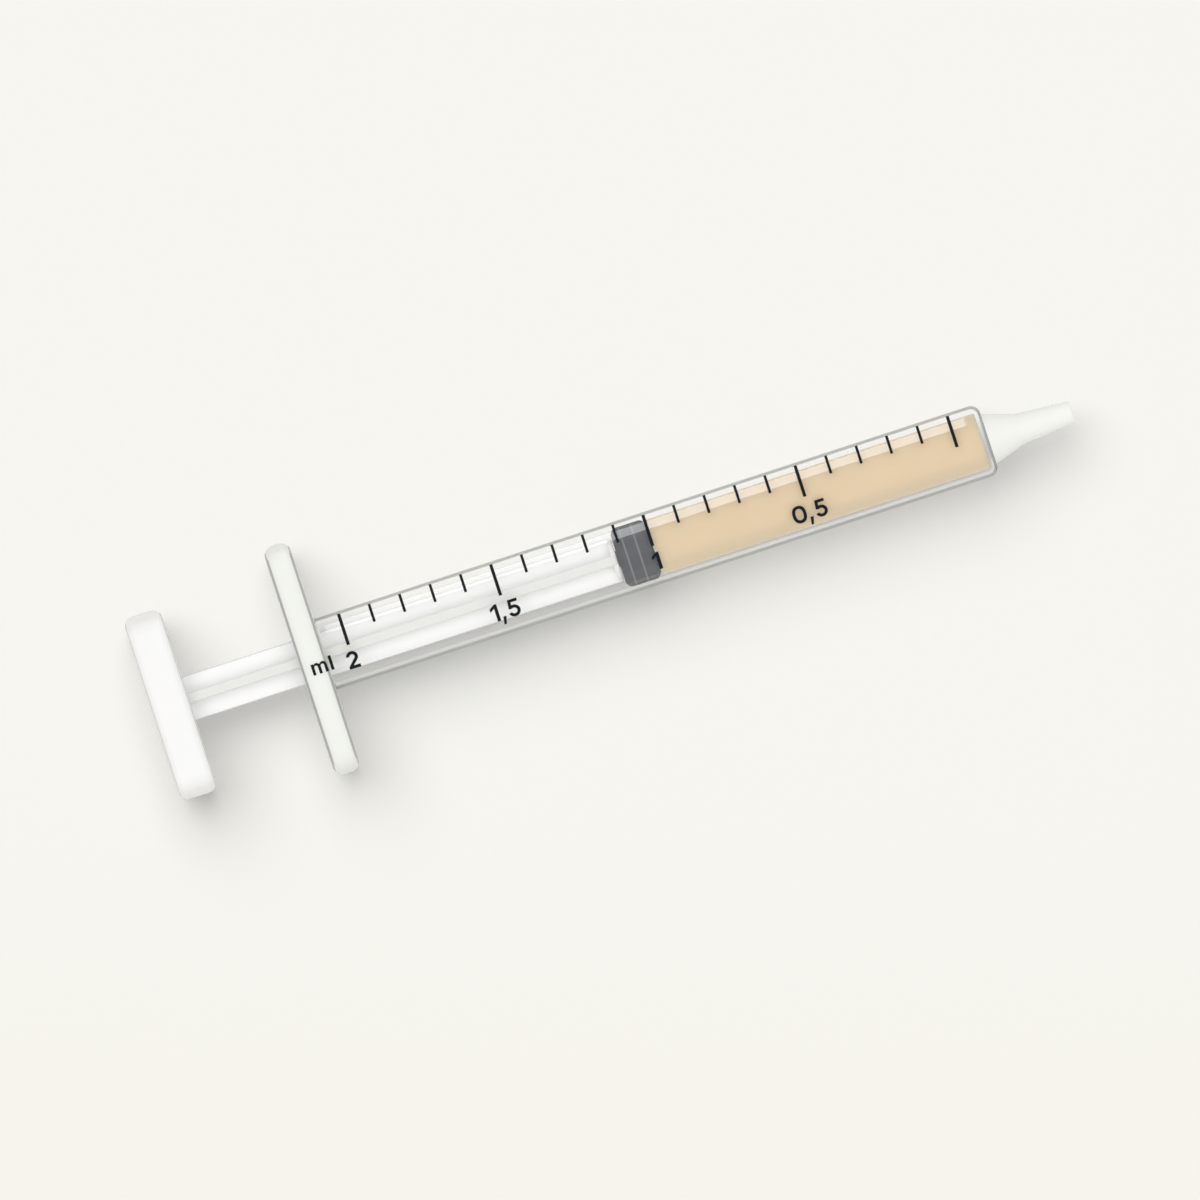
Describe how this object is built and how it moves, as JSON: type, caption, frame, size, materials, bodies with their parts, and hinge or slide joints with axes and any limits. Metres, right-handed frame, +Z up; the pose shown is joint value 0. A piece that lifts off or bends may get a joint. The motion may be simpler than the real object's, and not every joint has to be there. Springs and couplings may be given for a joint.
{
  "type": "syringe",
  "caption": "Small clear medicine syringe lying on its side, with a finger flange, tapered nozzle, white cross-shaped plunger rod, grey rubber stopper and a tan dose inside.",
  "frame": {"origin": "under the middle of the syringe's overall box, on the surface that it lies on; the barrel's axis runs at y = 0, 5.05 mm above it", "axes": "+X along the barrel's axis, from thumb rest to nozzle tip; +Y along the finger flange; +Z up"},
  "size_m": [0.0968, 0.024, 0.0101],
  "materials": {
    "clear_plastic": "clear polypropylene, glossy tube with milky flange and nozzle",
    "white_plastic": "white polyethylene, satin",
    "grey_rubber": "dark grey moulded rubber, satin",
    "tan_liquid": "opaque tan liquid"
  },
  "bodies": {
    "barrel": {"barrel": "clear_plastic", "liquid_dose": "tan_liquid"},
    "stopper": {"stopper": "grey_rubber"},
    "plunger_rod": {"plunger_rod": "white_plastic"}
  },
  "joints": [
    {"name": "plunger_slide", "type": "slide", "parent": "barrel", "child": "stopper", "axis": [1, 0, 0], "range_m": [-0.032, 0.0112], "deforming": ["liquid_dose"]},
    {"name": "rod_turn", "type": "hinge", "parent": "stopper", "child": "plunger_rod", "pos_m": [0, 0, 0.00505], "axis": [1, 0, 0], "continuous": true}
  ]
}
